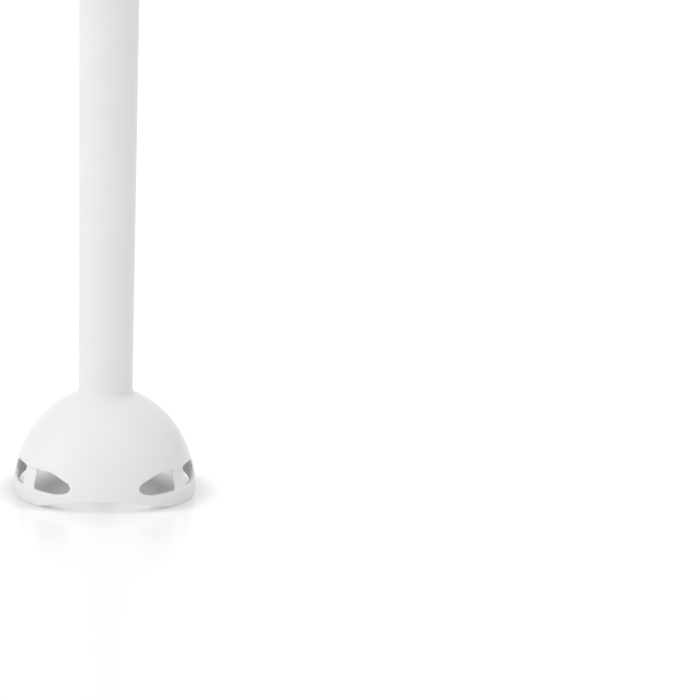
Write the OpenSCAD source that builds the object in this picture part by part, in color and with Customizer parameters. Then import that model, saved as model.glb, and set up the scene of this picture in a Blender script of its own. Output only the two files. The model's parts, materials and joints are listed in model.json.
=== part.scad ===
// Immersion blender: a mixing foot with a bell guard, and the motor handle it plugs into.
// Frame: origin on the axis at the lowest points of the bell's rim, +Z up, buttons face -Y.

/* [Mixing foot] */
// Outer diameter of the bell at its rim
rim_d = 70; // [69:0.5:72]
// Height of the three arches in the rim
rim_wave = 4.4; // [4:0.1:5]
// Diameter of the shaft tube where it leaves the bell
tube_d = 20.8; // [20.6:0.1:21.2]
// Diameter of the shaft tube below its flare
tube_top_d = 22.9; // [22.6:0.1:23.4]
// Wall of the foot's moulding
foot_wall = 2; // [1.8:0.1:2.2]
// Height of the seam between foot and handle
seam_z = 214; // [212:1:218]

/* [Drive] */
// Diameter of the drive shaft
shaft_d = 6; // [5.6:0.2:6]
// Radius swept by the cutting blade
blade_reach = 22; // [20:0.5:23]
// Upward bend of two of the blade's wings
wing_up = 28; // [20:1:30]
// Downward bend of the other two wings
wing_down = 14; // [8:1:16]

/* [Handle] */
// Height of the handle's shells, from the trim ring to the top cap
shell_h = 154; // [150:1:158]
// Height of the top cap
cap_h = 24; // [22:1:26]
// Wall of the handle's shells
wall = 2.2; // [2:0.1:2.4]
// Roundness of the handle's section, 2 for an ellipse
section_power = 2.25; // [2:0.05:2.5]
// Bore of the cord gland
cord_d = 6.8; // [6:0.1:7.4]

/* [Controls] */
// Travel of the speed and turbo buttons
button_travel = 1.6; // [1.2:0.1:1.8]
// Travel of the two release buttons
release_travel = 1.6; // [1:0.1:1.6]

/* [Hidden] */
$fn = 64;
eps = 0.01;
running = 0.03; // radial clearance of a shaft in its bush

// Colours
white = [0.93, 0.93, 0.92];
light_grey = [0.72, 0.73, 0.74];
mid_grey = [0.5, 0.51, 0.52];
dark_grey = [0.2, 0.2, 0.21];
steel = [0.75, 0.76, 0.78];
bronze = [0.72, 0.52, 0.28];
copper = [0.72, 0.4, 0.2];
board_green = [0.1, 0.35, 0.2];

// Bell
rim_r = rim_d / 2;
lip_arc_r = 25;
lip_arc_z = 4;
lip_arc_x = rim_r - lip_arc_r;
dome_arc_r = rim_r + 3.2;
dome_arc_x = -3.8;
dome_arc_z = 3.8;
lip_top_z = 13;
arches = 3; // repeats around the bell
wave_half = rim_r * sin(45);
wave_cut_r = (wave_half * wave_half + rim_wave * rim_wave) / (2 * rim_wave);
window_top_z = 13.6;
window_base_z = 6;
window_tip = 20.6; // half the width of the opening that two windows share
post_w = 8.2;
post_t = 0.9;
post_inset = 0.8; // from the bell's surface in to the posts between the windows
post_rib_w = 3.6;
rib_t = 1.6;

// Shaft tube, its neck fillet and its flare
tube_r = tube_d / 2;
tube_top_r = tube_top_d / 2;
tube_bore_r = 8.3;
neck_r = 3;
neck_x = tube_r + neck_r;
neck_z = dome_arc_z + sqrt(pow(dome_arc_r + neck_r, 2) - pow(neck_x - dome_arc_x, 2));
neck_share = dome_arc_r / (dome_arc_r + neck_r);
neck_foot = [dome_arc_x + (neck_x - dome_arc_x) * neck_share,
             dome_arc_z + (neck_z - dome_arc_z) * neck_share];
seat_r = 19.6; // outer radius at the seam
flare_h = 15;
flare_z = seam_z - 2 - flare_h;
flare_w = seat_r - tube_top_r;
flare_r = (flare_h * flare_h + flare_w * flare_w) / (2 * flare_w);

// Bearings of the foot
shaft_r = shaft_d / 2;
boss_r = 9.2;
boss_z = 21;
seal_h = 6;
seal_r = 7;
bush_r = 5;
bush_z = boss_z + seal_h;
bush_h = 12;
web_z = bush_z + bush_h;
blade_z = 14.5;
blade_t = 1.2;
hub_top_z = 19;

// Coupling between foot and handle
plug_r = 15;
plug_bore_r = 11.5;
plug_floor_z = seam_z - 2.5;
plug_top_z = seam_z + 21.5;
upper_bush_z = plug_floor_z - 12;
upper_bush_h = 10;
shaft_top_z = seam_z + 12;
dog_arm = 9; // length of the coupling's cross
dog_w = 3;
dog_gap = 0.3;
dog_top_z = seam_z + 21;

// Handle sections: half widths, half depths, offsets in Y and squareness at even steps up the shells
shell_z = seam_z + 5;
cap_z = shell_z + shell_h;
widths = [21, 24.6, 26, 25.8, 25, 24.2, 23.6, 23];
depths = [21, 25.2, 27.2, 27.3, 26.4, 25.4, 25, 24.6];
offsets = [0, 0.3, 0.8, 0.8, 0.3, 0, 0, 0];
squareness = [0, 0.7, 1, 1, 1, 1, 1, 1];
station_step = shell_h / (len(widths) - 1);
cap_power = 2.5;
ring_sides = 40;
shell_rings = 20;
cap_rings = 8;

// Buttons
bezel_z = shell_z + 119.5; // middle of the bezel
bezel_w = 19;
bezel_h = 48;
speed_z = bezel_z + 9.5;
speed_h = 24;
turbo_z = bezel_z - 14;
turbo_h = 15;
button_w = 14;
button_gap = 0.3;
button_proud = button_travel;
button_t = wall + 0.6; // from the handle's surface in to the back of a button
board_y = -10;
board_t = 1.6;
board_base_z = seam_z + 107;
board_h = 46;
rail_x = 12; // inner edge of the rails the board lies on
switch_d = 6; // depth of a microswitch, along Y
switch_front_y = board_y - board_t - switch_d;
plunger_r = 1.4;
plunger_out = 3;
plunger_in = 1.6;
switch_bore = plunger_in + button_travel + 0.8;
button_back_y = switch_front_y - plunger_out;

// Release latches
release_z = seam_z + 16.3; // where the two sliders meet
slider_t = 2.6;
slider_gap = 0.2; // from each slider to the plane where they meet
slider_hole_r = plug_r + 0.4;
slider_r = slider_hole_r + 2.3;
slider_reach = 21.3; // inner face of the release buttons
groove_half = slider_gap + slider_t + 0.4;
release_w = 13;
release_h = 17;
release_proud = 1.2;
latch_spring_z = seam_z + 10.2;

// Sleeve that guides the plug
sleeve_r0 = plug_r + 0.3;
sleeve_r1 = sleeve_r0 + 2.4;
sleeve_top_z = release_z - slider_gap - slider_t - 0.3;

// Motor
motor_r = 18;
motor_z = seam_z + 33;
motor_h = 56;
can_t = 1.2;
glue = 0.04; // glue line behind the magnets
motor_shaft_r = 2.5;
bearing_r = 6.5;
bearing_h = 5;
bulkhead_z = motor_z - 6;
bulkhead_r = 21.6;
ledge_r = 19.5; // opening of the ledges that carry the motor
damper_h = 5;
damper_levels = [motor_z + 4, motor_z + 47];
core_r = 13.6;
core_z = motor_z + 8;
core_h = 32;
commutator_z = core_z + core_h + 5;
commutator_h = 8;
commutator_r = 6.5;
brush_w = 4.4;
brush_h = 5;
brush_z = commutator_z + 1.4;
end_cap_z = motor_z + motor_h;
motor_screw_x = 12;
fan_z = end_cap_z + 8;
fan_h = 9;
fan_r = 16;

// Cord inlet
gland_top_z = cap_z + cap_h + 3;
gland_base_z = cap_z + cap_h - 5.2;
gland_r = 6.4;
clamp_z = cap_z - 9;
clamp_h = 7;
clamp_x = 12;
clamp_gap = 5; // inner edge of the two posts behind the clamp
clamp_screw_x = 8.5;

// Grip, vents and shell screws
grip_z = shell_z + 62;
grip_w = 30;
grip_h = 92;
grip_t = 0.9;
vent_count = 5;
vent_z = shell_z + 122;
vent_step = 5;
screw_x = 17.3;
screw_levels = [shell_z + 111, shell_z + 142];
screw_seat_y = 8;
screw_r = 1.4;

// ---------- functions ----------

// Catmull-Rom value between p1 and p2
function spline(p0, p1, p2, p3, t) =
    0.5 * (2 * p1 + (p2 - p0) * t + (2 * p0 - 5 * p1 + 4 * p2 - p3) * t * t
    + (3 * p1 - p0 - 3 * p2 + p3) * t * t * t);

function station(list, i) = list[max(0, min(len(list) - 1, i))];

// Value of a station list at height z
function along(list, z) =
    let (u = max(0, min(len(list) - 1, (z - shell_z) / station_step)), i = min(len(list) - 2, floor(u)))
    spline(station(list, i - 1), station(list, i), station(list, i + 1), station(list, i + 2), u - i);

// How far the section has closed at height z in the cap
function closing(z, grow) =
    z <= cap_z ? 1 : pow(max(0, 1 - pow((z - cap_z) / (cap_h + grow), cap_power)), 1 / cap_power);

function signed_pow(v, p) = sign(v) * pow(abs(v), p);

// One ring of the handle's outside, moved out by grow
function ring(z, grow) =
    let (s = closing(z, grow), a = (along(widths, z) + grow) * s, b = (along(depths, z) + grow) * s,
        power = 2 / (2 + (section_power - 2) * along(squareness, z)))
    [for (i = [0 : ring_sides - 1]) let (t = 360 * (i + 0.5) / ring_sides)
        [a * signed_pow(cos(t), power), b * signed_pow(sin(t), power) + along(offsets, z), z]];

// y of the handle's front surface at the middle plane
function front_y(z) = along(offsets, z) - along(depths, z);

// Corner points with each corner rounded by its radius, as [x, y, r]
function rounded(corners, steps = 6) =
    [for (i = [0 : len(corners) - 1])
        let (n = len(corners), c = corners[i], p = corners[(i + n - 1) % n], q = corners[(i + 1) % n],
            o = [c[0], c[1]], u = unit([p[0], p[1]] - o), v = unit([q[0], q[1]] - o),
            half = acos(u * v) / 2, reach = c[2] / tan(half), m = o + unit(u + v) * c[2] / sin(half),
            from = o + u * reach - m, to = o + v * reach - m,
            turn = asin(cross2(from, to) / (c[2] * c[2])))
        for (k = [0 : steps]) m + rot2(from, turn * k / steps)];
function unit(v) = v / norm(v);
function cross2(a, b) = a[0] * b[1] - a[1] * b[0];
function rot2(v, a) = [v[0] * cos(a) - v[1] * sin(a), v[0] * sin(a) + v[1] * cos(a)];

// ---------- shared shapes ----------

// A hollow or solid round, from z0 to z1
module tube(r, z0, z1, bore = 0) {
    translate([0, 0, z0])
        difference() {
            cylinder(r = r, h = z1 - z0);
            if (bore > 0) translate([0, 0, -1]) cylinder(r = bore, h = z1 - z0 + 2);
        }
}

// Skin through a stack of rings with equal point counts
module loft(rings) {
    n = len(rings[0]);
    top = len(rings) - 1;
    polyhedron(
        points = [for (r = rings) each r],
        faces = concat(
            [[for (i = [0 : n - 1]) i]],
            [for (k = [0 : top - 1], i = [0 : n - 1])
                each [[k * n + i, (k + 1) * n + i, (k + 1) * n + (i + 1) % n],
                      [k * n + i, (k + 1) * n + (i + 1) % n, k * n + (i + 1) % n]]],
            [[for (i = [n - 1 : -1 : 0]) top * n + i]]),
        convexity = 6);
}

// The handle's outer volume moved out by grow, between two heights of the shells
module handle_solid(grow, z0 = shell_z, z1 = cap_z) {
    loft([for (k = [0 : shell_rings]) ring(z0 + (z1 - z0) * k / shell_rings, grow)]);
}

// The cap's outer volume moved out by grow; drop extends it below its seam
module cap_solid(grow, drop = 0) {
    low = drop > 0 ? [ring(cap_z - drop, grow)] : [];
    loft(concat(low, [for (k = [0 : cap_rings])
        ring(cap_z + (cap_h + grow) * sin(80 * k / cap_rings), grow)]));
}

// Its children are worked out as one mesh: for freeform shells with no bores
module as_mesh() {
    resize([0, 0, 0]) union() children();
}

// Upright pill shape along Y, from y0 to y1, centred at height z
module pill(w, h, z, y0, y1) {
    translate([0, y1, z])
        rotate([90, 0, 0])
        linear_extrude(y1 - y0)
        union() {
            square([w, h - w], center = true);
            for (s = [-1, 1]) translate([0, s * (h - w) / 2]) circle(r = w / 2);
        }
}

// Wire helix about +Z starting at the origin
module coil(r, wire_r, turns, length) {
    sides = 6;
    steps = 12 * turns;
    loft([for (k = [0 : steps])
        let (a = 360 * turns * k / steps, z = wire_r + (length - 2 * wire_r) * k / steps)
        [for (i = [0 : sides - 1]) let (t = -360 * i / sides)
            [(r + wire_r * cos(t)) * cos(a), (r + wire_r * cos(t)) * sin(a), z + wire_r * sin(t)]]]);
}

// ---------- mixing foot ----------

module bell_outline(inset) {
    intersection() {
        translate([dome_arc_x, dome_arc_z]) circle(r = dome_arc_r - inset);
        translate([0, lip_top_z]) square([rim_r, dome_arc_r]);
    }
    intersection() {
        translate([lip_arc_x, lip_arc_z]) circle(r = lip_arc_r - inset);
        translate([0, lip_arc_z]) square([rim_r, lip_top_z - lip_arc_z + eps]);
    }
    translate([0, inset > 0 ? -1 : 0]) square([rim_r - inset, lip_arc_z + (inset > 0 ? 1 : 0)]);
}

module tube_outline() {
    difference() {
        polygon([[0, neck_foot[1] - 1], [neck_foot[0], neck_foot[1] - 1], neck_foot, [neck_x, neck_z],
                 [tube_r, neck_z], [tube_top_r, flare_z], [seat_r, flare_z], [seat_r, seam_z], [0, seam_z]]);
        translate([neck_x, neck_z]) circle(r = neck_r);
        intersection() {
            translate([tube_top_r + flare_r, flare_z]) circle(r = flare_r);
            translate([0, flare_z - 1]) square([seat_r + 1, flare_h + 1]);
        }
    }
}

module foot_profile() {
    difference() {
        union() {
            bell_outline(0);
            tube_outline();
        }
        difference() {
            bell_outline(foot_wall);
            translate([0, boss_z]) square([boss_r, dome_arc_r]);
        }
        square([seal_r, bush_z]);
        square([bush_r, web_z]);
        square([shaft_r + 0.6, seam_z]);
        translate([0, neck_z]) square([tube_bore_r, seam_z - neck_z]);
        translate([0, plug_floor_z]) square([plug_r, seam_z]);
    }
}

// Opening between two panels of the bell, seen along its post
module arch_opening() {
    rotate([90, 0, 0])
        translate([0, 0, rim_r - 14])
        linear_extrude(20)
        polygon(rounded([
            [-12.6, window_top_z, 10], [-window_tip, 10.2, 1.9], [-window_tip, 7.4, 1.9],
            [-16, window_base_z, 8], [16, window_base_z, 8], [window_tip, 7.4, 1.9],
            [window_tip, 10.2, 1.9], [12.6, window_top_z, 10]]));
}

// Strip of the given width across an opening, following the bell's curve
module strip(width, inset, thickness) {
    intersection() {
        rotate_extrude()
            difference() {
                bell_outline(inset);
                bell_outline(inset + thickness);
            }
        translate([-width / 2, -rim_r, window_base_z - 1.5])
            cube([width, rim_r / 2, window_top_z - window_base_z + 3]);
    }
}

// Post in the middle of an opening: a plate with a narrower rib behind it
module post() {
    strip(post_w, post_inset, post_t);
    strip(post_rib_w, post_inset, 2 * post_t);
}

// Radial rib between the bearing boss and the inside of the bell
module rib() {
    rotate([90, 0, 0])
        translate([0, 0, -rib_t / 2])
        linear_extrude(rib_t)
        intersection() {
            translate([dome_arc_x, dome_arc_z]) circle(r = dome_arc_r - foot_wall / 2);
            polygon([[boss_r - 1, boss_z + 4], [boss_r + 10, boss_z + 8], [rim_r, boss_z + 8],
                     [rim_r, web_z], [boss_r - 1, web_z]]);
        }
}

module foot_housing() {
    color(white) {
        difference() {
            rotate_extrude() foot_profile();
            for (i = [0 : arches - 1]) rotate([0, 0, 360 * i / arches]) {
                translate([0, -15, rim_wave - wave_cut_r])
                    rotate([90, 0, 0])
                    cylinder(r = wave_cut_r, h = 30, $fn = 200);
                rotate([0, 0, 180 / arches]) arch_opening();
            }
        }
        for (i = [0 : arches - 1]) rotate([0, 0, 360 * i / arches]) {
            rotate([0, 0, -90]) rib();
            rotate([0, 0, 180 / arches]) post();
        }
    }
}

module coupling_collar() {
    color(light_grey)
        rotate_extrude()
        difference() {
            union() {
                translate([0, upper_bush_z - 1]) square([tube_bore_r, plug_floor_z - upper_bush_z + 2]);
                translate([0, plug_floor_z]) square([plug_r, plug_top_z - plug_floor_z]);
            }
            translate([0, plug_floor_z + 2]) square([plug_bore_r, plug_top_z]);
            translate([0, upper_bush_z]) square([bush_r, upper_bush_h]);
            translate([0, upper_bush_z - 2]) square([shaft_r + 0.6, plug_top_z]);
            translate([plug_r - 1.4, release_z - groove_half]) square([2, 2 * groove_half]);
        }
}

module upper_bush() {
    color(bronze) tube(bush_r, upper_bush_z, upper_bush_z + upper_bush_h, shaft_r + running);
}

module lower_bush() {
    color(bronze) tube(bush_r, bush_z, web_z, shaft_r + running);
}

module shaft_seal() {
    color(dark_grey)
        rotate_extrude()
        polygon([[shaft_r + running, boss_z + 0.4], [seal_r, boss_z], [seal_r, bush_z],
                 [shaft_r + 1.4, bush_z], [shaft_r + 1.4, boss_z + 3.4], [shaft_r + running, boss_z + 1.6]]);
}

module seal_cap() {
    color(light_grey)
        rotate_extrude()
        polygon([[shaft_r + 0.8, boss_z - 1.3], [boss_r, boss_z - 1.3], [boss_r + 0.8, boss_z - 0.5],
                 [boss_r + 0.8, boss_z + 4], [boss_r, boss_z + 4], [boss_r, boss_z],
                 [shaft_r + 0.8, boss_z]]);
}

// ---------- parts that turn in the foot ----------

module drive_shaft() {
    color(steel) tube(shaft_r, blade_z - 3, shaft_top_z);
}

module shaft_circlip() {
    color(steel) tube(shaft_r + 2, plug_floor_z + 2.2, plug_floor_z + 3.2, shaft_r);
}

module dog_cross(arm, w, z0, z1) {
    for (a = [0, 90]) rotate([0, 0, a])
        translate([-arm / 2, -w / 2, z0])
        cube([arm, w, z1 - z0]);
}

module lower_drive_dog() {
    color(light_grey)
        difference() {
            union() {
                tube(shaft_r + 2, seam_z + 4, shaft_top_z);
                dog_cross(dog_arm, dog_w, shaft_top_z - 1, dog_top_z);
            }
            tube(shaft_r, seam_z + 3, shaft_top_z);
        }
}

module blade_hub() {
    color(steel) tube(shaft_r + 2.6, blade_z + blade_t, hub_top_z, shaft_r);
}

module wing(bend) {
    root = 8;
    tip = (blade_reach - root) / cos(bend);
    translate([0, 0, blade_z]) {
        linear_extrude(blade_t) polygon([[0, -4.6], [root, -4], [root, 4], [0, 4.6]]);
        translate([root - 0.3, 0, 0])
            rotate([0, -bend, 0])
            linear_extrude(blade_t)
            polygon([[0, -4], [tip * 0.8, -2.6], [tip, 0.4], [tip * 0.86, 2.4], [0, 4]]);
    }
}

module cutting_blade() {
    color(steel)
        difference() {
            for (i = [0 : 3]) rotate([0, 0, 45 + 90 * i]) wing(i % 2 == 0 ? wing_up : -wing_down);
            tube(shaft_r, blade_z - 5, blade_z + 8);
        }
}

module blade_nut() {
    color(steel)
        difference() {
            union() {
                translate([0, 0, blade_z - 3]) cylinder(r = 5.2, h = 3, $fn = 6);
                translate([0, 0, blade_z - 4]) cylinder(r1 = 3.2, r2 = 4.4, h = 1.2);
            }
            tube(shaft_r, blade_z - 3, blade_z + 1);
        }
}

// ---------- handle casing ----------

// The space inside the two shells
module handle_core() {
    handle_solid(-wall, shell_z - 0.5, cap_z + 0.5);
}

// A box on one side of the plane where the shells meet, -1 for the front and 1 for the rear
module half_space(side) {
    translate([-50, side > 0 ? 0 : -50, shell_z - 10]) cube([100, 50, shell_h + 60]);
}

// Ledges that the motor's bulkhead and dampers sit on
module ledges() {
    difference() {
        for (z = concat([bulkhead_z], damper_levels)) translate([-30, -30, z - 2]) cube([60, 60, 2]);
        translate([0, 0, shell_z]) cylinder(r = ledge_r, h = shell_h, $fn = 48);
    }
}

// Rails in front of the circuit board
module board_rails() {
    for (x = [-rail_x - 12, rail_x]) translate([x, board_y - board_t - 2.4, board_base_z])
        cube([12, 2.4, board_h]);
}

// Posts behind the cord clamp
module clamp_posts() {
    for (x = [-clamp_x, clamp_gap]) translate([x, 0, clamp_z]) cube([clamp_x - clamp_gap, 30, clamp_h]);
}

// Rods along Y at the shell screws, from y0 to y1
module at_shell_screws(r, y0, y1) {
    for (x = [-screw_x, screw_x], z = screw_levels)
        translate([x, y1, z]) rotate([90, 0, 0]) cylinder(r = r, h = y1 - y0, $fn = 24);
}

// Openings in both shells for the release buttons
module release_openings(gap) {
    rotate([0, 0, 90]) pill(release_w + 2 * gap, release_h + 2 * gap, release_z, -60, 60);
}

module handle_front_shell() {
    color(white)
        as_mesh()
        difference() {
            intersection() {
                union() {
                    difference() {
                        handle_solid(0);
                        handle_core();
                    }
                    intersection() {
                        handle_solid(-wall / 2);
                        union() {
                            ledges();
                            board_rails();
                            at_shell_screws(3.2, -40, 0);
                        }
                    }
                }
                half_space(-1);
            }
            at_shell_screws(screw_r / cos(7.5), -7, 1);
            pill(bezel_w, bezel_h, bezel_z, -60, -18);
            release_openings(button_gap);
        }
}

module handle_rear_shell() {
    color(white)
        as_mesh()
        difference() {
            intersection() {
                union() {
                    difference() {
                        handle_solid(0);
                        handle_core();
                    }
                    intersection() {
                        handle_solid(-wall / 2);
                        union() {
                            ledges();
                            clamp_posts();
                            at_shell_screws(3.2, 0, 40);
                        }
                    }
                }
                half_space(1);
            }
            difference() {
                pill(grip_w, grip_h, grip_z, 5, 60);
                handle_solid(-grip_t);
            }
            at_shell_screws(2.9, screw_seat_y, 40);
            at_shell_screws(screw_r / cos(7.5), -1, screw_seat_y + 1);
            for (x = [-clamp_screw_x, clamp_screw_x]) translate([x, 7, clamp_z + clamp_h / 2])
                rotate([90, 0, 0])
                cylinder(r = 1.25 / cos(7.5), h = 8, $fn = 24);
            for (k = [0 : vent_count - 1]) translate([0, 40, vent_z + vent_step * k])
                rotate([90, 0, 0])
                linear_extrude(30)
                vent_slot();
            release_openings(button_gap);
        }
}

module vent_slot() {
    square([16, 1.8], center = true);
    for (s = [-1, 1]) translate([s * 8, 0]) circle(r = 0.9, $fn = 16);
}

module soft_grip() {
    color(mid_grey)
        as_mesh()
        intersection() {
            pill(grip_w, grip_h, grip_z, 5, 60);
            difference() {
                handle_solid(0.3);
                handle_solid(-grip_t);
            }
        }
}

module top_cap() {
    color(white)
        as_mesh()
        difference() {
            cap_solid(0);
            cap_solid(-wall, 1);
            translate([0, 0, cap_z + 10]) cylinder(r = gland_r / cos(3.75), h = 30, $fn = 48);
        }
}

// Ring below the shells, with a spigot that their lower ends fit round
module trim_ring() {
    color(light_grey)
        rotate_extrude()
        difference() {
            union() {
                translate([sleeve_r1, seam_z + 0.3]) square([21 - sleeve_r1, shell_z - seam_z - 0.3]);
                translate([sleeve_r1, shell_z - 1]) square([0.9, 3]);
            }
            polygon([[seat_r, seam_z + 0.2], [22, seam_z + 0.2], [22, seam_z + 2]]);
        }
}

module socket_sleeve() {
    color(mid_grey)
        rotate_extrude()
        difference() {
            union() {
                translate([sleeve_r0, seam_z + 0.3])
                    square([sleeve_r1 - sleeve_r0, sleeve_top_z - seam_z - 0.3]);
                translate([sleeve_r0, sleeve_top_z - 1.2]) square([4, 1.2]);
            }
            polygon([[0, seam_z], [sleeve_r0 + 1.3, seam_z], [0, seam_z + sleeve_r0 + 1.3]]);
        }
}

// ---------- controls ----------

module button_openings() {
    pill(button_w + 2 * button_gap, speed_h + 2 * button_gap, speed_z, -70, 0);
    pill(button_w + 2 * button_gap, turbo_h + 2 * button_gap, turbo_z, -70, 0);
}

// Frame round the two buttons, with a flange behind the shell
module button_bezel() {
    color(light_grey)
        as_mesh()
        difference() {
            union() {
                intersection() {
                    pill(bezel_w - 0.1, bezel_h - 0.1, bezel_z, -60, -18);
                    difference() {
                        handle_solid(0.4);
                        handle_solid(-wall - 1);
                    }
                }
                intersection() {
                    pill(bezel_w + 3, bezel_h + 3, bezel_z, -60, -18);
                    difference() {
                        handle_core();
                        handle_solid(-wall - 1);
                    }
                }
            }
            button_openings();
        }
}

// A push button: curved face, and a post that meets the switch plunger
module push_button(z, h) {
    as_mesh()
        union() {
            intersection() {
                pill(button_w, h, z, -60, -5);
                difference() {
                    handle_solid(button_proud);
                    handle_solid(-button_t);
                }
            }
            translate([-2, front_y(z), z - 2]) cube([4, button_back_y - front_y(z), 4]);
        }
}

module speed_button() {
    color(mid_grey) push_button(speed_z, speed_h);
}

module turbo_button() {
    color(light_grey) push_button(turbo_z, turbo_h);
}

module plunger(z) {
    color(dark_grey)
        translate([0, switch_front_y + plunger_in, z])
        rotate([90, 0, 0])
        cylinder(r = plunger_r, h = plunger_in + plunger_out);
}

module speed_plunger() { plunger(speed_z); }

module turbo_plunger() { plunger(turbo_z); }

// Return spring round the post, from the switch to the back of the button
module button_spring(z) {
    color(steel)
        translate([0, switch_front_y, z])
        rotate([90, 0, 0])
        coil(3.4, 0.35, 4, switch_front_y - front_y(z) - button_t - 0.5);
}

module speed_button_spring() { button_spring(speed_z); }

module turbo_button_spring() { button_spring(turbo_z); }

module circuit_board() {
    color(board_green)
        translate([-13, board_y - board_t, board_base_z])
        cube([26, board_t, board_h]);
}

module micro_switch(z) {
    color(dark_grey)
        difference() {
            translate([-6.4, switch_front_y, z - 4]) cube([12.8, switch_d, 8]);
            translate([0, switch_front_y + switch_bore, z])
                rotate([90, 0, 0])
                cylinder(r = plunger_r + 0.08, h = switch_bore + 1);
        }
}

module speed_switch() { micro_switch(speed_z); }

module turbo_switch() { micro_switch(turbo_z); }

module emi_capacitor() {
    color([0.2, 0.35, 0.6])
        translate([-9, board_y, board_base_z + 13])
        cube([18, 8, 13]);
}

// ---------- release latches ----------

// One slider: a plate with a long hole round the plug, and an arm out to the button at side
module latch_slider(side) {
    base_z = side > 0 ? release_z + slider_gap : release_z - slider_gap - slider_t;
    color(mid_grey)
        translate([0, 0, base_z])
        difference() {
            union() {
                cylinder(r = slider_r, h = slider_t);
                translate([side > 0 ? 0 : -slider_reach, -4, 0]) cube([slider_reach, 8, slider_t]);
            }
            for (x = [0, side * release_travel])
                translate([x, 0, -1]) cylinder(r = slider_hole_r, h = slider_t + 2);
            translate([side > 0 ? 0 : -release_travel, -slider_hole_r, -1])
                cube([release_travel, 2 * slider_hole_r, slider_t + 2]);
        }
}

module latch_slider_left() { latch_slider(-1); }

module latch_slider_right() { latch_slider(1); }

module release_button(side) {
    color(light_grey)
        as_mesh()
        intersection() {
            rotate([0, 0, 90]) pill(release_w, release_h, release_z, -60, 60);
            handle_solid(release_proud);
            translate([side > 0 ? slider_reach : -slider_reach - 30, -25, shell_z - 10]) cube([30, 50, 60]);
        }
}

module release_button_left() { release_button(-1); }

module release_button_right() { release_button(1); }

// Spring between the sleeve and the inner face of a release button
module latch_spring(side) {
    color(steel)
        translate([side * sleeve_r1, 0, latch_spring_z])
        rotate([0, 90 * side, 0])
        coil(1.5, 0.25, 4, slider_reach - sleeve_r1 - 0.1);
}

module latch_spring_left() { latch_spring(-1); }

module latch_spring_right() { latch_spring(1); }

// ---------- motor ----------

module lower_bulkhead() {
    color(mid_grey)
        difference() {
            union() {
                tube(bulkhead_r, bulkhead_z, bulkhead_z + 3);
                tube(bearing_r + 2.2, bulkhead_z, motor_z);
                for (x = [-motor_screw_x, motor_screw_x])
                    translate([x, 0, bulkhead_z]) cylinder(r = 3, h = motor_z - bulkhead_z);
            }
            tube(bearing_r, motor_z - bearing_h, motor_z + 1);
            tube(motor_shaft_r + 1, bulkhead_z - 1, motor_z);
            at_motor_screws(1.5);
        }
}

module at_motor_screws(r) {
    for (x = [-motor_screw_x, motor_screw_x]) translate([x, 0, bulkhead_z - 1]) cylinder(r = r, h = 12);
}

module lower_motor_bearing() {
    color(bronze) tube(bearing_r, motor_z - bearing_h, motor_z, motor_shaft_r + running);
}

module motor_can() {
    color(steel)
        difference() {
            tube(motor_r, motor_z, end_cap_z);
            tube(motor_r - can_t, motor_z + can_t, end_cap_z + 1);
            tube(motor_shaft_r + 1, motor_z - 1, motor_z + 2);
            at_motor_screws(1.5);
        }
}

module field_magnets() {
    color(dark_grey)
        for (a = [0, 180]) rotate([0, 0, a - 65])
            rotate_extrude(angle = 130)
            translate([core_r + 0.6, core_z - 1])
            square([motor_r - can_t - glue - core_r - 0.6, core_h + 2]);
}

module motor_end_cap() {
    color(mid_grey)
        difference() {
            union() {
                tube(motor_r, end_cap_z, end_cap_z + 3);
                tube(bearing_r + 2, end_cap_z, end_cap_z + 6);
            }
            tube(bearing_r, end_cap_z + 1, end_cap_z + 7);
            tube(motor_shaft_r + 1, end_cap_z - 1, end_cap_z + 2);
        }
}

module upper_motor_bearing() {
    color(bronze) tube(bearing_r, end_cap_z + 1, end_cap_z + 6, motor_shaft_r + running);
}

module brush_holders() {
    color(bronze)
        for (a = [0, 180]) rotate([0, 0, a])
            difference() {
                translate([commutator_r + 1.5, -brush_w / 2 - 1.2, commutator_z])
                    cube([7.2, brush_w + 2.4, end_cap_z - commutator_z]);
                translate([commutator_r, -brush_w / 2, brush_z]) cube([12, brush_w, brush_h]);
            }
}

module carbon_brushes() {
    color([0.12, 0.12, 0.12])
        for (a = [0, 180]) rotate([0, 0, a])
            translate([commutator_r + 0.1, -brush_w / 2, brush_z])
            cube([7, brush_w, brush_h]);
}

module damper(z) {
    color(dark_grey) tube(motor_r + 4.2, z, z + damper_h, motor_r);
}

module lower_damper() { damper(damper_levels[0]); }

module upper_damper() { damper(damper_levels[1]); }

module motor_shaft() {
    color(steel) tube(motor_shaft_r, dog_top_z + 0.8, fan_z + fan_h + 1);
}

module armature_core() {
    color(steel)
        difference() {
            tube(core_r, core_z, core_z + core_h, motor_shaft_r);
            for (i = [0 : 9]) rotate([0, 0, 36 * i])
                translate([7, -1.2, core_z - 1])
                cube([core_r, 2.4, core_h + 2]);
        }
}

module armature_windings() {
    color(copper)
        for (z = [core_z - 4.2, core_z + core_h])
            tube(core_r - 0.1, z, z + 4.2, motor_shaft_r + 2);
}

module commutator() {
    color(copper)
        difference() {
            tube(commutator_r, commutator_z, commutator_z + commutator_h, motor_shaft_r);
            for (i = [0 : 9]) rotate([0, 0, 36 * i])
                translate([commutator_r - 0.8, -0.2, commutator_z - 1])
                cube([2, 0.4, commutator_h + 2]);
        }
}

module cooling_fan() {
    color(light_grey) {
        tube(4.6, fan_z, fan_z + fan_h, motor_shaft_r);
        tube(fan_r, fan_z, fan_z + 1.2, 4.5);
        for (i = [0 : 8]) rotate([0, 0, 40 * i])
            translate([5, 0, fan_z])
            rotate([0, 0, 24])
            translate([0, -0.6, 0])
            cube([10.4, 1.2, fan_h - 1]);
    }
}

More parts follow.
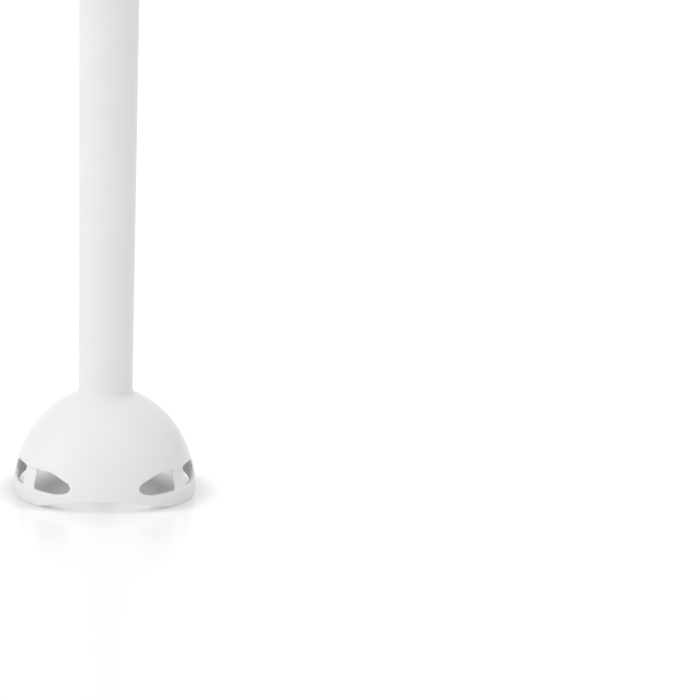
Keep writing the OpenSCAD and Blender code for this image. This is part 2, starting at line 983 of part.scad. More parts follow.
module upper_drive_dog() {
    base_z = shaft_top_z + 1;
    color(dark_grey)
        difference() {
            tube(8, base_z, bulkhead_z - 0.4);
            dog_cross(dog_arm + 2 * dog_gap, dog_w + 2 * dog_gap, base_z - 1, dog_top_z + 0.5);
            tube(motor_shaft_r, dog_top_z, bulkhead_z);
        }
}

// ---------- cord inlet and fasteners ----------

module cord_gland() {
    color(mid_grey)
        difference() {
            union() {
                tube(gland_r, gland_base_z, gland_top_z);
                tube(gland_r + 1.6, gland_base_z, gland_base_z + 2);
            }
            tube(cord_d / 2, gland_base_z - 1, gland_top_z + 1);
        }
}

module cord_clamp() {
    color(light_grey)
        difference() {
            translate([-clamp_x, -6, clamp_z]) cube([2 * clamp_x, 6, clamp_h]);
            translate([0, 0, clamp_z - 1]) cylinder(r = cord_d / 2, h = clamp_h + 2);
            for (x = [-clamp_screw_x, clamp_screw_x]) translate([x, 1, clamp_z + clamp_h / 2])
                rotate([90, 0, 0])
                cylinder(r = 1.25, h = 8);
        }
}

// A pan-head screw pointing down -Z from the origin
module screw(r, length) {
    difference() {
        union() {
            translate([0, 0, -length]) cylinder(r = r, h = length);
            cylinder(r = 1.9 * r, h = 1.5);
        }
        for (a = [0, 90]) rotate([0, 0, a]) translate([-1.3 * r, -0.25, 0.7]) cube([2.6 * r, 0.5, 2]);
    }
}

module clamp_screws() {
    color(steel)
        for (x = [-clamp_screw_x, clamp_screw_x]) translate([x, -6, clamp_z + clamp_h / 2])
            rotate([90, 0, 0])
            screw(1.25, 12);
}

module shell_screws() {
    color(steel)
        for (x = [-screw_x, screw_x], z = screw_levels) translate([x, screw_seat_y, z])
            rotate([-90, 0, 0])
            screw(screw_r, 14);
}

module motor_screws() {
    color(steel)
        for (x = [-motor_screw_x, motor_screw_x]) translate([x, 0, bulkhead_z])
            rotate([180, 0, 0])
            screw(1.5, 8);
}

foot_housing();
coupling_collar();
upper_bush();
lower_bush();
shaft_seal();
seal_cap();
drive_shaft();
shaft_circlip();
lower_drive_dog();
blade_hub();
cutting_blade();
blade_nut();
handle_front_shell();
handle_rear_shell();
top_cap();
trim_ring();
socket_sleeve();
soft_grip();
button_bezel();
speed_button();
turbo_button();
speed_plunger();
turbo_plunger();
speed_button_spring();
turbo_button_spring();
circuit_board();
speed_switch();
turbo_switch();
emi_capacitor();
release_button_left();
release_button_right();
latch_slider_left();
latch_slider_right();
latch_spring_left();
latch_spring_right();
lower_bulkhead();
lower_motor_bearing();
motor_can();
field_magnets();
motor_end_cap();
upper_motor_bearing();
brush_holders();
carbon_brushes();
lower_damper();
upper_damper();
motor_shaft();
armature_core();
armature_windings();
commutator();
cooling_fan();
upper_drive_dog();
cord_gland();
cord_clamp();
clamp_screws();
shell_screws();
motor_screws();
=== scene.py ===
import json
import math

import bpy
import numpy as np
from mathutils import Matrix, Vector

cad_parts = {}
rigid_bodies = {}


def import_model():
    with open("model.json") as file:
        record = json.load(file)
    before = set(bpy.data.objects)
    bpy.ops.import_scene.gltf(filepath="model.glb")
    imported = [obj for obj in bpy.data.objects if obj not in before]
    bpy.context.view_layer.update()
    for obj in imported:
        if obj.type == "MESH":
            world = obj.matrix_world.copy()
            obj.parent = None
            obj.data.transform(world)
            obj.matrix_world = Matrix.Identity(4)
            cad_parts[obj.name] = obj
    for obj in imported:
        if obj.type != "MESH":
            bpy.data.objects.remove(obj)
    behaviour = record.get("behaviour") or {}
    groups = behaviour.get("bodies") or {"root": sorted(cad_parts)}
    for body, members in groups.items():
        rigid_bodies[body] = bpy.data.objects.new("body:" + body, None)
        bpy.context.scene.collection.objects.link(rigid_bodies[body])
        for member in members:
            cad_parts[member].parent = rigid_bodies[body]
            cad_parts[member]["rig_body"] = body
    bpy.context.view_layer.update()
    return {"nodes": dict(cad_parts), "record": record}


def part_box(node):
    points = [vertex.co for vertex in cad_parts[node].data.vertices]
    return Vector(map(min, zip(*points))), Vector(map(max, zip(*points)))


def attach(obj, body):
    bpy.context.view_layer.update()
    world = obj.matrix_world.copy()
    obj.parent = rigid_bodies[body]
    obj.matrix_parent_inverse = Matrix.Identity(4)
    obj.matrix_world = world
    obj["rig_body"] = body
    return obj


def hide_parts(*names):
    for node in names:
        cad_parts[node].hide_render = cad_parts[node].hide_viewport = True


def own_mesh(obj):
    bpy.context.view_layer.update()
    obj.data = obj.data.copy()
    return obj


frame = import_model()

# ---------- driving dimensions, in metres ----------

MM = 0.001
FOOT_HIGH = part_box("foot_housing")[1]
RIM_R = FOOT_HIGH.x
SEAM_Z = FOOT_HIGH.z
SHELL_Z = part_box("handle_front_shell")[0].z
CAP_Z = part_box("handle_front_shell")[1].z

# Profile of the foot's outside: a lip arc, a dome arc, a fillet, a tapered tube and a flare
LIP_R, LIP_Z, LIP_TOP_Z = 25 * MM, 4 * MM, 13 * MM
DOME_R, DOME_X, DOME_Z = 38.2 * MM, -3.8 * MM, 3.8 * MM
TUBE_R, TUBE_TOP_R = 10.4 * MM, 11.45 * MM
NECK_R = 3 * MM
SEAT_R = 19.6 * MM
FLARE_H = 15 * MM
SEAT_H = 2 * MM

# Sections of the handle at even steps up the shells
WIDTHS = [21, 24.6, 26, 25.8, 25, 24.2, 23.6, 23]
DEPTHS = [21, 25.2, 27.2, 27.3, 26.4, 25.4, 25, 24.6]
OFFSETS = [0, 0.3, 0.8, 0.8, 0.3, 0, 0, 0]
SQUARENESS = [0, 0.7, 1, 1, 1, 1, 1, 1]
SECTION_POWER = 2.25
CAP_H = 24 * MM
CAP_POWER = 2.5

# Screw bosses of the rear shell: their radius and how far off it a point on them may be, a screw head's
# radius, and what the moulded copy adds
BOSS_R, BOSS_SLACK = 3.2 * MM, 0.02 * MM
SCREW_HEAD_R = 2.66 * MM
BOSS_EXTRA = 0.6 * MM

# Soft grip: its width, and its grooves' pitch, depth, flanks and ends (the distances they ease over)
GRIP_W = 30 * MM
GROOVE_PITCH, GROOVE_DEPTH = 5 * MM, 0.5 * MM
GROOVE_FLANK = (0.5 * MM, 1.1 * MM)
GROOVE_END = (2.4 * MM, 3.6 * MM)

# Button faces: the dish's share of the face and its depths, the dot, and the bars' height, pitch, half
# width, half length and soft edge
DISH_SHARE, SPEED_DISH, TURBO_DISH = 0.42, 0.7 * MM, 0.6 * MM
DOT_H, DOT_EDGE = 0.4 * MM, (0.8 * MM, 1.6 * MM)
SPEED_BAR_H, SPEED_BAR_PITCH, SPEED_BAR_W, SPEED_BAR_L = 0.4 * MM, 3.2 * MM, 0.55 * MM, 3 * MM
THUMB_BAR_H, THUMB_BAR_PITCH, THUMB_BAR_W, THUMB_BAR_L = 0.35 * MM, 2.6 * MM, 0.6 * MM, 4 * MM
BAR_EDGE = 0.35 * MM

# How far parts stand proud of the handle's outside
BEZEL_PROUD, GRIP_PROUD, BUTTON_PROUD, RELEASE_PROUD = 0.4 * MM, 0.3 * MM, 1.6 * MM, 1.2 * MM

# Springs that are pressed by a button's travel, each with its joint and the way it is pressed
PRESSED_SPRINGS = {
    "speed_button_spring": ("speed_press", (0, 1, 0)),
    "turbo_button_spring": ("turbo_press", (0, 1, 0)),
    "latch_spring_left": ("release_left_press", (1, 0, 0)),
    "latch_spring_right": ("release_right_press", (-1, 0, 0)),
}

# Small rounds on parts that are shown as the CAD makes them
EDGE_ROUNDS = {
    "trim_ring": 0.3 * MM, "coupling_collar": 0.3 * MM, "cord_gland": 0.5 * MM, "seal_cap": 0.3 * MM,
    "lower_drive_dog": 0.25 * MM, "cutting_blade": 0.12 * MM, "blade_nut": 0.2 * MM, "blade_hub": 0.2 * MM,
}
SHARP = math.radians(35)

# Moulding: the gap that is welded, and for the fine mesh and the thinned one how squarely a point has to
# face outward and how near it has to be to go onto the true surface. Then the step between the points of
# the foot's profile, and how many of the mesh's points are compared with it at once.
WELD_GAP = 2e-6
FACING_FINE, NEAR_FINE = (0.86, 0.97), 0.3 * MM
FACING_THINNED, NEAR_THINNED = (0.85, 0.95), 0.05 * MM
PROFILE_STEP = 0.1 * MM
POINTS_AT_ONCE = 4000

# Table: its own glow in the open, the painted light it gains just inside the front of the rim, the painted
# shadow in the gap under the bell, the painted contact shadow it loses beside the rim and the painted light
# it gains before it
FLOOR_GLOW, PAINTED_RIM_LIGHT, PAINTED_SHADOW_GLOW = 0.41, 0.54, 0.12
PAINTED_CONTACT_SHADE, PAINTED_FRONT_LIGHT = 0.18, 0.06

# Where the painted shade and light in the glow change, from and to. Across the gap and at the front it is a
# place along Y. At the rim it is a distance from the bell, whose painted shadow patch reaches back, and
# beside the rim from the object's middle.
GAP_Y = (-0.6 * RIM_R, -0.3 * RIM_R)
FRONT_Y = (-RIM_R, -0.7 * RIM_R)
PATCH_EDGE = (0.86 * RIM_R, 1.08 * RIM_R)
PATCH_CENTRE, PATCH_STRETCH = (0, 0.3 * RIM_R, 0), (0.95, 1.3, 1)
BESIDE_RIM = (1.02 * RIM_R, 1.35 * RIM_R)

# Studio: the brightness at the horizon to the left and to the right, what it gains overhead and behind
# the object and loses behind to the left, and the powers with which the sides and the rear fall away
STUDIO_LEFT, STUDIO_RIGHT, STUDIO_TOP, STUDIO_BACK = 1.6, 0.06, 0.35, 0.35
BACK_LEFT_DIM = 1.1
SIDE_POWER, BACK_POWER = 2, 4

# Key light, high on the left
KEY_PLACE, KEY_AIM = Vector((-1.8, -0.6, 1.2)), Vector((0, 0, 0.1))
KEY_SIZE, KEY_POWER = (1.2, 1.6), 2.5

# Camera: where it stands, seen from the middle of the rim, and the point it looks at
CAMERA_DISTANCE = 2.0
CAMERA_ELEVATION = math.radians(15.3)
CAMERA_AIM = Vector((0.09396, 0, 0.05681))
CAMERA_ROLL = math.radians(1.21)
CAMERA_LENS, SENSOR_W = 265.26, 36
CAMERA_REACH = (0.01, 200)

# ---------- mesh helpers ----------


def spline(values, u):
    """Catmull-Rom value of a list at positions u, in numpy."""
    v = np.array(values, float)
    u = np.clip(u, 0, len(v) - 1)
    i = np.minimum(u.astype(int), len(v) - 2)
    t = u - i
    p0, p1 = v[np.maximum(i - 1, 0)], v[i]
    p2, p3 = v[i + 1], v[np.minimum(i + 2, len(v) - 1)]
    return 0.5 * (2 * p1 + (p2 - p0) * t + (2 * p0 - 5 * p1 + 4 * p2 - p3) * t**2
                  + (3 * p1 - p0 - 3 * p2 + p3) * t**3)


def smoothstep(x, low, high):
    t = np.clip((x - low) / (high - low), 0, 1)
    return t * t * (3 - 2 * t)


def evaluated_mesh(piece):
    """The piece's mesh with its modifiers applied."""
    depsgraph = bpy.context.evaluated_depsgraph_get()
    return bpy.data.meshes.new_from_object(piece.evaluated_get(depsgraph), depsgraph=depsgraph)


def coordinates(mesh):
    co = np.empty(len(mesh.vertices) * 3)
    mesh.vertices.foreach_get("co", co)
    return co.reshape(-1, 3)


def normals(mesh):
    no = np.empty(len(mesh.vertices) * 3)
    mesh.vertex_normals.foreach_get("vector", no)
    return no.reshape(-1, 3)


def remade(piece, modifiers):
    """Replaces the piece's mesh by what the modifiers, given as (type, settings), make of it."""
    for kind, settings in modifiers:
        modifier = piece.modifiers.new(kind.lower(), kind)
        for name, value in settings.items():
            setattr(modifier, name, value)
    bpy.context.view_layer.update()
    made = evaluated_mesh(piece)
    piece.modifiers.clear()
    piece.data = made


def snapped(mesh, snap, grow, facing, near):
    """Moves the outer vertices onto the true surface; returns each one's share of that and its way out."""
    co, no = coordinates(mesh), normals(mesh)
    target, out = snap(co, grow)
    gap = np.linalg.norm(target - co, axis=1)
    share = smoothstep(np.sum(no * out, axis=1), *facing) * (1 - smoothstep(gap, near, 3 * near))
    co += (target - co) * share[:, None]
    mesh.vertices.foreach_set("co", co.ravel())
    mesh.update()
    return share, out


def thicken_bosses(mesh):
    """Widens the screw bosses, whose walls are thinner than the remeshing can hold."""
    co = coordinates(mesh)
    low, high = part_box("shell_screws")
    for x in (low.x + SCREW_HEAD_R, high.x - SCREW_HEAD_R):
        for z in (low.z + SCREW_HEAD_R, high.z - SCREW_HEAD_R):
            off = co[:, ::2] - (x, z)
            r = np.hypot(off[:, 0], off[:, 1])
            on_boss = np.abs(r - BOSS_R) < BOSS_SLACK
            co[on_boss, ::2] += off[on_boss] / r[on_boss, None] * BOSS_EXTRA
    mesh.vertices.foreach_set("co", co.ravel())
    mesh.update()


def copy_of(node, ending):
    piece = bpy.data.objects.new(node + ending, frame["nodes"][node].data.copy())
    bpy.context.scene.collection.objects.link(piece)
    return piece


def stand_in(piece, node):
    """Puts the piece in the CAD node's place."""
    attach(piece, frame["nodes"][node]["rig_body"])
    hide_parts(node)


def moulded(node, voxel, rounds, keep, snap, grow=0.0, carve=None):
    """A finely meshed copy of a CAD node with soft edges, whose outside snap puts back on the true surface.

    carve gives the depth that is then taken off each outer point. keep is the share of the faces that
    stay; a thinned piece takes its shading from the true surface."""
    piece = copy_of(node, "_moulded")
    if node == "handle_rear_shell":
        thicken_bosses(piece.data)
    remade(piece, [("WELD", {"merge_threshold": WELD_GAP}),
                   ("REMESH", {"mode": "VOXEL", "voxel_size": voxel}),
                   ("SMOOTH", {"factor": 0.5, "iterations": rounds})])
    share, out = snapped(piece.data, snap, grow, FACING_FINE, NEAR_FINE)
    if carve:
        co = coordinates(piece.data)
        co -= out * (share * carve(co))[:, None]
        piece.data.vertices.foreach_set("co", co.ravel())
        piece.data.update()
    if keep < 1:
        remade(piece, [("DECIMATE", {"ratio": keep})])
        share, out = snapped(piece.data, snap, grow, FACING_THINNED, NEAR_THINNED)
        soft = normals(piece.data) * (1 - share)[:, None] + out * share[:, None]
        soft /= np.linalg.norm(soft, axis=1)[:, None]
        piece.data.shade_smooth()
        piece.data.normals_split_custom_set_from_vertices(soft)
    piece.data.shade_smooth()
    stand_in(piece, node)


def middle_of(node):
    """The middle and the size of a CAD node's box."""
    low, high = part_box(node)
    return (low + high) / 2, high - low


def bar(across, along, half_width, half_length):
    """1 on a soft-edged straight bar, falling to 0 beside it."""
    sides = 1 - smoothstep(np.abs(across), half_width - BAR_EDGE, half_width + BAR_EDGE)
    return sides * (1 - smoothstep(np.abs(along), half_length - BAR_EDGE, half_length + BAR_EDGE))


def three_bars(across, along, pitch, half_width, half_length):
    return sum(bar(across - step * pitch, along, half_width, half_length) for step in (-1, 0, 1))


def grip_grooves(co):
    """Level grooves across the soft grip, which stop short of its edge."""
    middle, size = middle_of("soft_grip")
    rise = co[:, 2] - middle.z
    beyond = np.maximum(np.abs(rise) - (size.z - GRIP_W) / 2, 0)
    inside = GRIP_W / 2 - np.hypot(co[:, 0], beyond)
    phase = np.abs((rise / GROOVE_PITCH + 0.5) % 1 - 0.5) * GROOVE_PITCH
    groove = 1 - smoothstep(phase, *GROOVE_FLANK)
    return GROOVE_DEPTH * groove * smoothstep(inside, *GROOVE_END)


def finger_dish(co, node, depth):
    """A shallow hollow for a fingertip, and each point's place across and up the button."""
    middle, size = middle_of(node)
    x, z = co[:, 0] - middle.x, co[:, 2] - middle.z
    level = (x / (DISH_SHARE * size.x)) ** 2 + (z / (DISH_SHARE * size.z)) ** 2
    return depth * (1 - smoothstep(level, 0, 1)), x, z


def speed_face(co):
    """A dish with three raised bars to feel for."""
    dish, x, z = finger_dish(co, "speed_button", SPEED_DISH)
    return dish - SPEED_BAR_H * three_bars(z, x, SPEED_BAR_PITCH, SPEED_BAR_W, SPEED_BAR_L)


def turbo_face(co):
    """A dish with a raised dot."""
    dish, x, z = finger_dish(co, "turbo_button", TURBO_DISH)
    return dish - DOT_H * (1 - smoothstep(np.hypot(x, z), *DOT_EDGE))


def release_face(co):
    """Three upright ridges for the thumb or finger."""
    middle = middle_of("release_button_left")[0]
    y, z = co[:, 1] - middle.y, co[:, 2] - middle.z
    return -THUMB_BAR_H * three_bars(y, z, THUMB_BAR_PITCH, THUMB_BAR_W, THUMB_BAR_L)


def foot_profile():
    """Closely spaced (radius, height) points up the foot's outside, above the rim."""
    neck_x = TUBE_R + NECK_R
    neck_z = DOME_Z + math.sqrt((DOME_R + NECK_R) ** 2 - (neck_x - DOME_X) ** 2)
    share = DOME_R / (DOME_R + NECK_R)
    neck_foot_z = DOME_Z + (neck_z - DOME_Z) * share
    flare_z = SEAM_Z - SEAT_H - FLARE_H
    flare_w = SEAT_R - TUBE_TOP_R
    flare_r = (FLARE_H**2 + flare_w**2) / (2 * flare_w)
    z = np.arange(LIP_Z, SEAM_Z - SEAT_H, PROFILE_STEP)
    lip = RIM_R - LIP_R + np.sqrt(np.maximum(LIP_R**2 - (z - LIP_Z) ** 2, 0))
    dome = DOME_X + np.sqrt(np.maximum(DOME_R**2 - (z - DOME_Z) ** 2, 0))
    neck = neck_x - np.sqrt(np.maximum(NECK_R**2 - (z - neck_z) ** 2, 0))
    tube = TUBE_R + (TUBE_TOP_R - TUBE_R) * (z - neck_z) / (flare_z - neck_z)
    flare = TUBE_TOP_R + flare_r - np.sqrt(np.maximum(flare_r**2 - (z - flare_z) ** 2, 0))
    bands = [z < LIP_TOP_Z, z < neck_foot_z, z < neck_z, z < flare_z]
    return np.stack([np.select(bands, [lip, dome, neck, tube], flare), z], axis=1)


def snap_to_foot(co, _grow):
    """Nearest points on the foot's profile, and the directions away from it."""
    profile = foot_profile()
    along = np.gradient(profile, axis=0)
    along /= np.linalg.norm(along, axis=1)[:, None]
    away = np.stack([along[:, 1], -along[:, 0]], axis=1)
    r = np.hypot(co[:, 0], co[:, 1])
    flat = np.stack([r, co[:, 2]], axis=1)
    nearest = np.empty(len(flat), int)
    for start in range(0, len(flat), POINTS_AT_ONCE):
        part = flat[start:start + POINTS_AT_ONCE]
        nearest[start:start + POINTS_AT_ONCE] = np.argmin(
            (part[:, :1] - profile[:, 0]) ** 2 + (part[:, 1:] - profile[:, 1]) ** 2, axis=1)
    n = away[nearest]
    off = np.sum((flat - profile[nearest]) * n, axis=1)
    on = flat - off[:, None] * n
    turn = co[:, :2] / np.maximum(r, 1e-9)[:, None]
    target = np.column_stack([turn * on[:, :1], on[:, 1]])
    return target, np.column_stack([turn * n[:, :1], n[:, 1]])


def snap_to_handle(co, grow):
    """Nearest points, level with co, on the handle's outside moved out by grow."""
    z = co[:, 2]
    u = (z - SHELL_Z) / (CAP_Z - SHELL_Z) * (len(WIDTHS) - 1)
    a = spline(WIDTHS, u) * MM + grow
    b = spline(DEPTHS, u) * MM + grow
    middle = spline(OFFSETS, u) * MM
    power = 2 + (SECTION_POWER - 2) * spline(SQUARENESS, u)
    x, y = co[:, 0], co[:, 1] - middle
    rise = np.maximum(z - CAP_Z, 0)
    level = (np.abs(x / a) ** power + np.abs(y / b) ** power) ** (1 / power)
    dome = (level**CAP_POWER + (rise / (CAP_H + grow)) ** CAP_POWER) ** (1 / CAP_POWER)
    scale = 1 / np.maximum(dome, 1e-6)
    target = np.column_stack([x * scale, y * scale + middle,
                              np.where(rise > 0, CAP_Z + rise * scale, z)])
    gx = np.sign(x) * np.abs(x / a) ** (power - 1) / a
    gy = np.sign(y) * np.abs(y / b) ** (power - 1) / b
    gz = (rise / (CAP_H + grow)) ** (CAP_POWER - 1) / (CAP_H + grow)
    gz = gz * np.maximum(level, 1e-3) ** (power - CAP_POWER)
    out = np.column_stack([gx, gy, gz])
    return target, out / np.maximum(np.linalg.norm(out, axis=1), 1e-9)[:, None]


def softened(node, width):
    """Gives a CAD node's sharp edges a small round, without touching its own vertices."""
    piece = frame["nodes"][node]
    weld = piece.modifiers.new("weld", "WELD")
    weld.merge_threshold = WELD_GAP
    bevel = piece.modifiers.new("round", "BEVEL")
    bevel.width = width
    bevel.segments = 2
    bevel.limit_method = "ANGLE"
    bevel.angle_limit = SHARP


# ---------- materials ----------


def link(tree, a, b):
    tree.links.new(a, b)


def blank_material(name):
    material = bpy.data.materials.new(name)
    material.use_nodes = True
    tree = material.node_tree
    shader = tree.nodes["Principled BSDF"]
    place = tree.nodes.new("ShaderNodeTexCoord").outputs["Object"]
    return material, tree, shader, place


def noise(tree, place, scale, detail=3.0, stretch=(1, 1, 1)):
    mapping = tree.nodes.new("ShaderNodeMapping")
    mapping.inputs["Scale"].default_value = stretch
    texture = tree.nodes.new("ShaderNodeTexNoise")
    texture.inputs["Scale"].default_value = scale
    texture.inputs["Detail"].default_value = detail
    link(tree, place, mapping.inputs["Vector"])
    link(tree, mapping.outputs["Vector"], texture.inputs["Vector"])
    return texture.outputs["Fac"]


def mapped(tree, value, low, high, first, second):
    """value, from low to high, eased between first and second."""
    node = tree.nodes.new("ShaderNodeMapRange")
    node.interpolation_type = "SMOOTHSTEP"
    for name, number in zip(("From Min", "From Max", "To Min", "To Max"), (low, high, first, second)):
        node.inputs[name].default_value = number
    link(tree, value, node.inputs["Value"])
    return node.outputs["Result"]


def between(tree, value, low, high):
    """A noise's value, eased between low and high."""
    return mapped(tree, value, 0.2, 0.8, low, high)


def two_tones(tree, value, first, second):
    ramp = tree.nodes.new("ShaderNodeValToRGB")
    ramp.color_ramp.interpolation = "EASE"
    ramp.color_ramp.elements[0].position = 0.2
    ramp.color_ramp.elements[1].position = 0.8
    ramp.color_ramp.elements[0].color = (*first, 1)
    ramp.color_ramp.elements[1].color = (*second, 1)
    link(tree, value, ramp.inputs["Fac"])
    return ramp.outputs["Color"]


def bump(tree, shader, value, depth):
    node = tree.nodes.new("ShaderNodeBump")
    node.inputs["Strength"].default_value = 1
    node.inputs["Distance"].default_value = depth
    link(tree, value, node.inputs["Height"])
    link(tree, node.outputs["Normal"], shader.inputs["Normal"])


def shade(colour, factor):
    return tuple(min(1, c * factor) for c in colour)


def plastic(name, colour, roughness, grain=900.0, depth=0.00002, vary=0.02):
    """Moulded plastic: a faint clouding of the colour and gloss, and a fine skin from the tool."""
    material, tree, shader, place = blank_material(name)
    clouds = noise(tree, place, 45, detail=1)
    link(tree, two_tones(tree, clouds, shade(colour, 1 - vary), shade(colour, 1 + vary)),
         shader.inputs["Base Color"])
    link(tree, between(tree, noise(tree, place, 90, detail=1), roughness - 2 * vary, roughness + 2 * vary),
         shader.inputs["Roughness"])
    bump(tree, shader, noise(tree, place, grain, detail=2), depth)
    shader.inputs["IOR"].default_value = 1.5
    return material


def rubber(name, colour):
    material, tree, shader, place = blank_material(name)
    link(tree, two_tones(tree, noise(tree, place, 120, detail=6), shade(colour, 0.9), shade(colour, 1.1)),
         shader.inputs["Base Color"])
    link(tree, between(tree, noise(tree, place, 300, detail=4), 0.6, 0.78), shader.inputs["Roughness"])
    bump(tree, shader, noise(tree, place, 2200, detail=2), 0.00003)
    shader.inputs["Sheen Weight"].default_value = 0.15
    return material


def metal(name, colour, roughness, scale, stretch=(1, 1, 1), depth=0.000012):
    """Worked metal, with its marks drawn out along stretch's small axes."""
    material, tree, shader, place = blank_material(name)
    marks = noise(tree, place, scale, detail=5, stretch=stretch)
    link(tree, two_tones(tree, marks, shade(colour, 0.9), shade(colour, 1.06)),
         shader.inputs["Base Color"])
    link(tree, between(tree, marks, roughness - 0.06, roughness + 0.1), shader.inputs["Roughness"])
    bump(tree, shader, marks, depth)
    shader.inputs["Metallic"].default_value = 1.0
    return material


def winding_wire(name, colour):
    """Enamelled wire laid side by side round the armature."""
    material, tree, shader, place = blank_material(name)
    wave = tree.nodes.new("ShaderNodeTexWave")
    wave.bands_direction = "DIAGONAL"
    wave.inputs["Scale"].default_value = 500
    wave.inputs["Distortion"].default_value = 1.5
    link(tree, place, wave.inputs["Vector"])
    link(tree, two_tones(tree, wave.outputs["Fac"], shade(colour, 0.6), shade(colour, 1.1)),
         shader.inputs["Base Color"])
    link(tree, between(tree, noise(tree, place, 500), 0.25, 0.4), shader.inputs["Roughness"])
    bump(tree, shader, wave.outputs["Fac"], 0.0001)
    shader.inputs["Metallic"].default_value = 0.9
    return material


MATERIALS = {
    "white_plastic": plastic("white_plastic", (0.8, 0.805, 0.81), 0.3, vary=0.008),
    "light_grey_plastic": plastic("light_grey_plastic", (0.52, 0.53, 0.54), 0.42),
    "mid_grey_plastic": plastic("mid_grey_plastic", (0.2, 0.205, 0.21), 0.46),
    "dark_plastic": plastic("dark_plastic", (0.02, 0.02, 0.022), 0.4, vary=0.1),
    "grip_rubber": rubber("grip_rubber", (0.2, 0.205, 0.21)),
    "black_rubber": rubber("black_rubber", (0.015, 0.015, 0.016)),
    "blade_steel": metal("blade_steel", (0.62, 0.63, 0.65), 0.26, 700, (1, 0.08, 1)),
    "shaft_steel": metal("shaft_steel", (0.58, 0.59, 0.61), 0.24, 900, (0.05, 0.05, 1)),
    "motor_steel": metal("motor_steel", (0.5, 0.51, 0.53), 0.36, 300, (1, 1, 0.3)),
    "screw_steel": metal("screw_steel", (0.55, 0.56, 0.58), 0.3, 500),
    "spring_steel": metal("spring_steel", (0.55, 0.56, 0.58), 0.28, 600),
    "bronze": metal("bronze", (0.5, 0.31, 0.13), 0.42, 900, depth=0.00003),
    "copper": winding_wire("copper", (0.62, 0.26, 0.12)),
    "magnet": plastic("magnet", (0.03, 0.03, 0.033), 0.62, grain=1400, depth=0.00005, vary=0.15),
    "carbon": plastic("carbon", (0.02, 0.02, 0.02), 0.5, grain=1600, depth=0.00004, vary=0.2),
    "circuit_board": plastic("circuit_board", (0.03, 0.16, 0.07), 0.3, grain=300, depth=0.00003, vary=0.12),
    "capacitor": plastic("capacitor", (0.04, 0.12, 0.32), 0.28, grain=200, vary=0.06),
}
SLOTS = {part["node"]: part["material_slot"] for part in frame["record"]["subparts"]}
for node, slot in SLOTS.items():
    data = frame["nodes"][node].data
    data.materials.clear()
    data.materials.append(MATERIALS[slot])

# ---------- pieces ----------


def make_foot():
    moulded("foot_housing", voxel=0.42 * MM, rounds=6, keep=0.3, snap=snap_to_foot)


def make_handle():
    for node in ("handle_front_shell", "handle_rear_shell", "top_cap"):
        moulded(node, voxel=0.6 * MM, rounds=3, keep=0.35, snap=snap_to_handle)
    moulded("button_bezel", voxel=0.35 * MM, rounds=3, keep=1, snap=snap_to_handle, grow=BEZEL_PROUD)
    moulded("soft_grip", voxel=0.45 * MM, rounds=3, keep=1, snap=snap_to_handle, grow=GRIP_PROUD,
            carve=grip_grooves)
    buttons = {"speed_button": (BUTTON_PROUD, speed_face), "turbo_button": (BUTTON_PROUD, turbo_face),
               "release_button_left": (RELEASE_PROUD, release_face),
               "release_button_right": (RELEASE_PROUD, release_face)}
    for node, (proud, face) in buttons.items():
        moulded(node, voxel=0.3 * MM, rounds=5, keep=1, snap=snap_to_handle, grow=proud, carve=face)


def make_springs():
    """Copies, on their own meshes, of the springs that are pressed by a button, put in the CAD springs'
    places.
    """
    for node, (joint, way) in PRESSED_SPRINGS.items():
        spring = copy_of(node, "_pressed")
        stand_in(spring, node)
        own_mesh(spring)


def soften_small_parts():
    for node, width in EDGE_ROUNDS.items():
        softened(node, width)


make_foot()
make_handle()
make_springs()
soften_small_parts()

# ---------- floor, light and camera ----------


def calc(tree, operation, first, second):
    """A Math node on two values, each a socket or a number."""
    node = tree.nodes.new("ShaderNodeMath")
    node.operation = operation
    for socket, value in zip(node.inputs, (first, second)):
        if isinstance(value, (int, float)):
            socket.default_value = value
        else:
            link(tree, value, socket)
    return node.outputs["Value"]


def distance_from(tree, place, centre, stretch=(1, 1, 1)):
    """Distance of place from centre, with each axis first divided by its stretch."""
    scaled = tree.nodes.new("ShaderNodeVectorMath")
    scaled.operation = "DIVIDE"
    scaled.inputs[1].default_value = stretch
    link(tree, place, scaled.inputs[0])
    node = tree.nodes.new("ShaderNodeVectorMath")
    node.operation = "DISTANCE"
    node.inputs[1].default_value = [c / s for c, s in zip(centre, stretch)]
    link(tree, scaled.outputs["Vector"], node.inputs[0])
    return node.outputs["Value"]


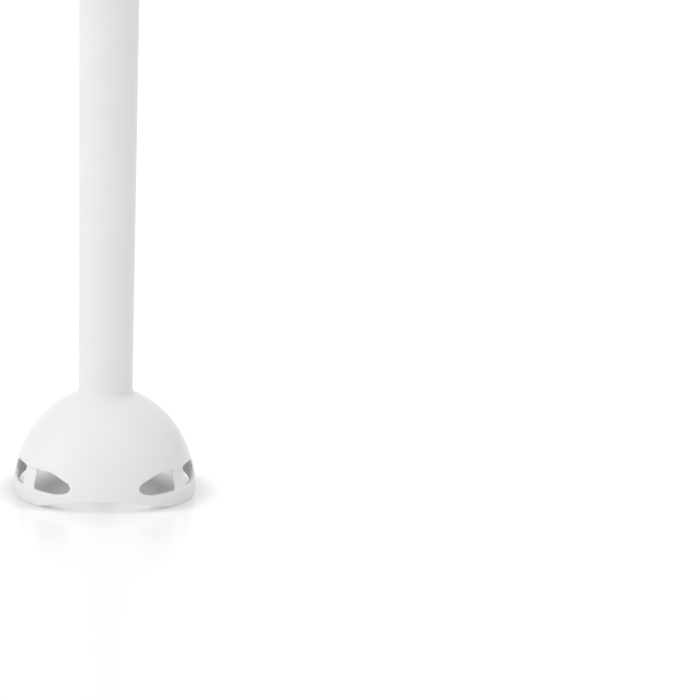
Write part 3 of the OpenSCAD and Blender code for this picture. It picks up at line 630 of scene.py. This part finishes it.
def make_floor():
    """A pale table with its own glow, in which light and shade are painted: the glow is held back in the
    gap under the bell as painted shadow and beside the rim as painted contact shadow, and raised inside and
    before the front of the rim as painted light.
    """
    bpy.ops.mesh.primitive_plane_add(size=60, location=(0, 0, 0))
    floor = bpy.context.object
    floor.name = "floor"
    material, tree, shader, place = blank_material("floor")
    link(tree, two_tones(tree, noise(tree, place, 3), (0.49, 0.49, 0.49), (0.51, 0.51, 0.51)),
         shader.inputs["Base Color"])
    shader.inputs["Roughness"].default_value = 0.28
    shader.inputs["IOR"].default_value = 1.35
    shader.inputs["Emission Color"].default_value = (1, 1, 1, 1)
    split = tree.nodes.new("ShaderNodeSeparateXYZ")
    link(tree, place, split.inputs["Vector"])
    # Painted shade and light in the glow: a low glow under and behind the bell is a painted shadow, which
    # also darkens the view through the windows; a higher glow inside and before the front rim is painted
    # light; a lower glow beside the rim is a painted contact shadow.
    gap = mapped(tree, split.outputs["Y"], *GAP_Y, PAINTED_RIM_LIGHT, PAINTED_SHADOW_GLOW)
    in_rim = mapped(tree, distance_from(tree, place, PATCH_CENTRE, PATCH_STRETCH), *PATCH_EDGE, 1, 0)
    painted_beside_rim = mapped(tree, split.outputs["Y"], *FRONT_Y, -PAINTED_FRONT_LIGHT, PAINTED_CONTACT_SHADE)
    near_rim = mapped(tree, distance_from(tree, place, (0, 0, 0)), *BESIDE_RIM, 1, 0)
    beside = calc(tree, "SUBTRACT", FLOOR_GLOW, calc(tree, "MULTIPLY", painted_beside_rim, near_rim))
    painted_under_bell = calc(tree, "MULTIPLY", calc(tree, "SUBTRACT", gap, beside), in_rim)
    link(tree, calc(tree, "ADD", painted_under_bell, beside), shader.inputs["Emission Strength"])
    floor.data.materials.append(material)


def make_world():
    """A soft studio: bright on the left, dim on the right, light behind and even overhead."""
    world = bpy.data.worlds.new("studio")
    bpy.context.scene.world = world
    world.use_nodes = True
    tree = world.node_tree
    background = tree.nodes["Background"]
    background.inputs["Color"].default_value = (1, 1, 1, 1)
    split = tree.nodes.new("ShaderNodeSeparateXYZ")
    link(tree, tree.nodes.new("ShaderNodeTexCoord").outputs["Generated"], split.inputs["Vector"])
    below_top = calc(tree, "SUBTRACT", 1, split.outputs["Z"])
    side = calc(tree, "MULTIPLY", split.outputs["X"], calc(tree, "POWER", below_top, SIDE_POWER))
    slope = calc(tree, "MULTIPLY", side, (STUDIO_RIGHT - STUDIO_LEFT) / 2)
    overhead = calc(tree, "MULTIPLY", split.outputs["Z"], STUDIO_TOP)
    middle = calc(tree, "ADD", overhead, (STUDIO_RIGHT + STUDIO_LEFT) / 2)
    rearward = calc(tree, "MAXIMUM", split.outputs["Y"], 0)
    behind = calc(tree, "MULTIPLY", calc(tree, "POWER", rearward, BACK_POWER), STUDIO_BACK)
    leftward = calc(tree, "MAXIMUM", calc(tree, "MULTIPLY", split.outputs["X"], -1), 0)
    back_left = calc(tree, "MULTIPLY", rearward, leftward)
    low = calc(tree, "SUBTRACT", behind, calc(tree, "MULTIPLY", back_left, BACK_LEFT_DIM))
    link(tree, calc(tree, "ADD", calc(tree, "ADD", slope, middle), low), background.inputs["Strength"])


def make_key_light():
    data = bpy.data.lights.new("key", "AREA")
    data.shape = "RECTANGLE"
    data.size, data.size_y = KEY_SIZE
    data.energy = KEY_POWER
    light = bpy.data.objects.new("key", data)
    light.location = KEY_PLACE
    light.rotation_euler = (KEY_AIM - KEY_PLACE).to_track_quat("-Z", "Y").to_euler()
    light.visible_camera = False
    bpy.context.scene.collection.objects.link(light)


def make_camera():
    data = bpy.data.cameras.new("camera")
    data.lens = CAMERA_LENS
    data.sensor_width = SENSOR_W
    data.clip_start, data.clip_end = CAMERA_REACH
    camera = bpy.data.objects.new("camera", data)
    outward = Vector((0, -math.cos(CAMERA_ELEVATION), math.sin(CAMERA_ELEVATION)))
    camera.location = CAMERA_DISTANCE * outward
    look = (CAMERA_AIM - camera.location).to_track_quat("-Z", "Y").to_matrix().to_4x4()
    camera.matrix_world = Matrix.Translation(camera.location) @ look @ Matrix.Rotation(CAMERA_ROLL, 4, "Z")
    bpy.context.scene.collection.objects.link(camera)
    bpy.context.scene.camera = camera


make_floor()
make_world()
make_key_light()
make_camera()
bpy.context.scene.view_settings.view_transform = "Standard"
